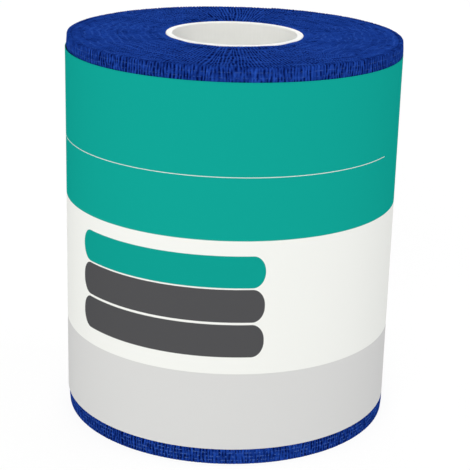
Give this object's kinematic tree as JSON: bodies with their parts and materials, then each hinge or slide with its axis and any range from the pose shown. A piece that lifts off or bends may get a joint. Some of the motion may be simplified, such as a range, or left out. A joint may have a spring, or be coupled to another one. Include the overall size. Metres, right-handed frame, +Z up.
{
  "type": "cohesive bandage roll",
  "caption": "Tightly wound roll of blue crinkled self-sticking bandage on a white hollow core, held in a printed paper wrap band, standing on one end.",
  "frame": {"origin": "centre of the lower end face, on the surface that the roll stands on", "axes": "+Z up along the core's axis, -Y towards the front of the paper band"},
  "size_m": [0.0646, 0.0646, 0.0752],
  "materials": {
    "bandage": "matt crinkled crepe",
    "core": "smooth satin",
    "band": "satin printed paper in plain colour bands"
  },
  "bodies": {
    "root": {"bandage_roll": "bandage", "core": "core", "paper_band": "band"}
  },
  "joints": []
}
